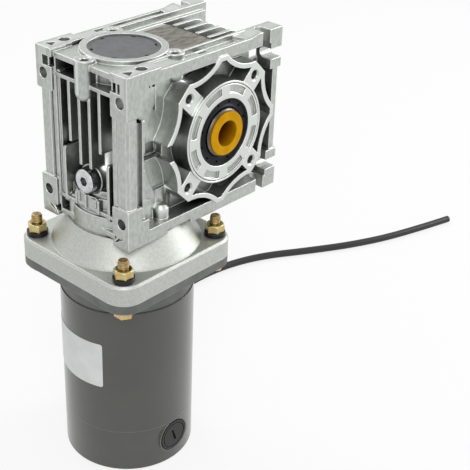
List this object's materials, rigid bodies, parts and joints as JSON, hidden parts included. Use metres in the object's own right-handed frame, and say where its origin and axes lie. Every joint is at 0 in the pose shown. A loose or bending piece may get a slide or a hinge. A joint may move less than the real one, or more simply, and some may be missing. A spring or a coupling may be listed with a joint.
{
  "type": "worm gear motor",
  "caption": "Right-angle worm gear motor: finned cast gearbox with a hollow keyed output bore, bolted by square flanges to a round brushed motor with a trailing supply cord",
  "frame": {"origin": "centre of the output bore, midway between the two flange faces", "axes": "+Y along the output bore towards the side cover, +Z along the worm shaft away from the motor, +X towards the slotted end feet"},
  "size_m": [0.4402, 0.1424, 0.2614],
  "materials": {
    "cast_aluminium": "die cast, tumbled",
    "adapter_aluminium": "die cast and machined",
    "bearing_steel": "ground",
    "shaft_steel": "turned",
    "gear_bronze": "machined",
    "seal_rubber": "moulded",
    "cap_plastic": "moulded",
    "plug_plastic": "moulded",
    "plate_aluminium": "worn sheet",
    "zinc_steel": "zinc plated",
    "yellow_zinc": "yellow passivated zinc",
    "black_steel": "black oxide",
    "motor_paint": "satin paint",
    "bracket_paint": "satin paint",
    "core_steel": "stacked sheet",
    "winding_copper": "enamelled wire and turned copper",
    "ferrite": "sintered",
    "brush_carbon": "pressed carbon",
    "black_plastic": "moulded",
    "label_paper": "blank sticker",
    "cord_rubber": "extruded"
  },
  "bodies": {
    "root": {"gearbox_housing": "cast_aluminium", "side_cover": "cast_aluminium", "side_cover_screws": "zinc_steel", "side_cover_o_ring": "seal_rubber", "output_bearing_outer_rings": "bearing_steel", "output_seals": "seal_rubber", "worm_bearing_outer_rings": "bearing_steel", "bearing_circlips": "shaft_steel", "input_oil_seal": "seal_rubber", "bearing_cap": "cap_plastic", "oil_plug": "zinc_steel", "oil_plug_seal": "seal_rubber", "nameplate": "plate_aluminium", "motor_adapter": "adapter_aluminium", "adapter_screws": "zinc_steel", "motor_front_bracket": "bracket_paint", "flange_bolts": "yellow_zinc", "flange_washers": "black_steel", "flange_nuts": "yellow_zinc", "motor_tube": "motor_paint", "field_magnets": "ferrite", "motor_bearing_outer_rings": "bearing_steel", "rear_cap": "motor_paint", "through_bolts": "zinc_steel", "brush_holders": "black_plastic", "carbon_brushes": "brush_carbon", "brush_springs": "black_steel", "brush_caps": "black_plastic", "motor_label": "label_paper", "cord_grommet": "cord_rubber", "supply_cord": "cord_rubber"},
    "worm_rotor": {"worm_shaft": "shaft_steel", "worm_bearing_inner_rings": "bearing_steel", "motor_shaft": "shaft_steel", "motor_shaft_key": "shaft_steel", "armature_core": "core_steel", "armature_windings": "winding_copper", "commutator": "winding_copper", "motor_bearing_inner_rings": "bearing_steel"},
    "output": {"worm_wheel": "gear_bronze", "wheel_hub": "shaft_steel", "output_bearing_inner_rings": "bearing_steel", "bore_plug": "plug_plastic"}
  },
  "joints": [
    {"name": "worm_spin", "type": "hinge", "parent": "root", "child": "worm_rotor", "pos_m": [-0.04, 0, 0], "axis": [0, 0, 1], "continuous": true},
    {"name": "output_spin", "type": "hinge", "parent": "root", "child": "output", "pos_m": [0, 0, 0], "axis": [0, 1, 0], "continuous": true}
  ],
  "couplings": [
    {"joint": "output_spin", "follows": "worm_spin", "ratio": -0.033333}
  ]
}
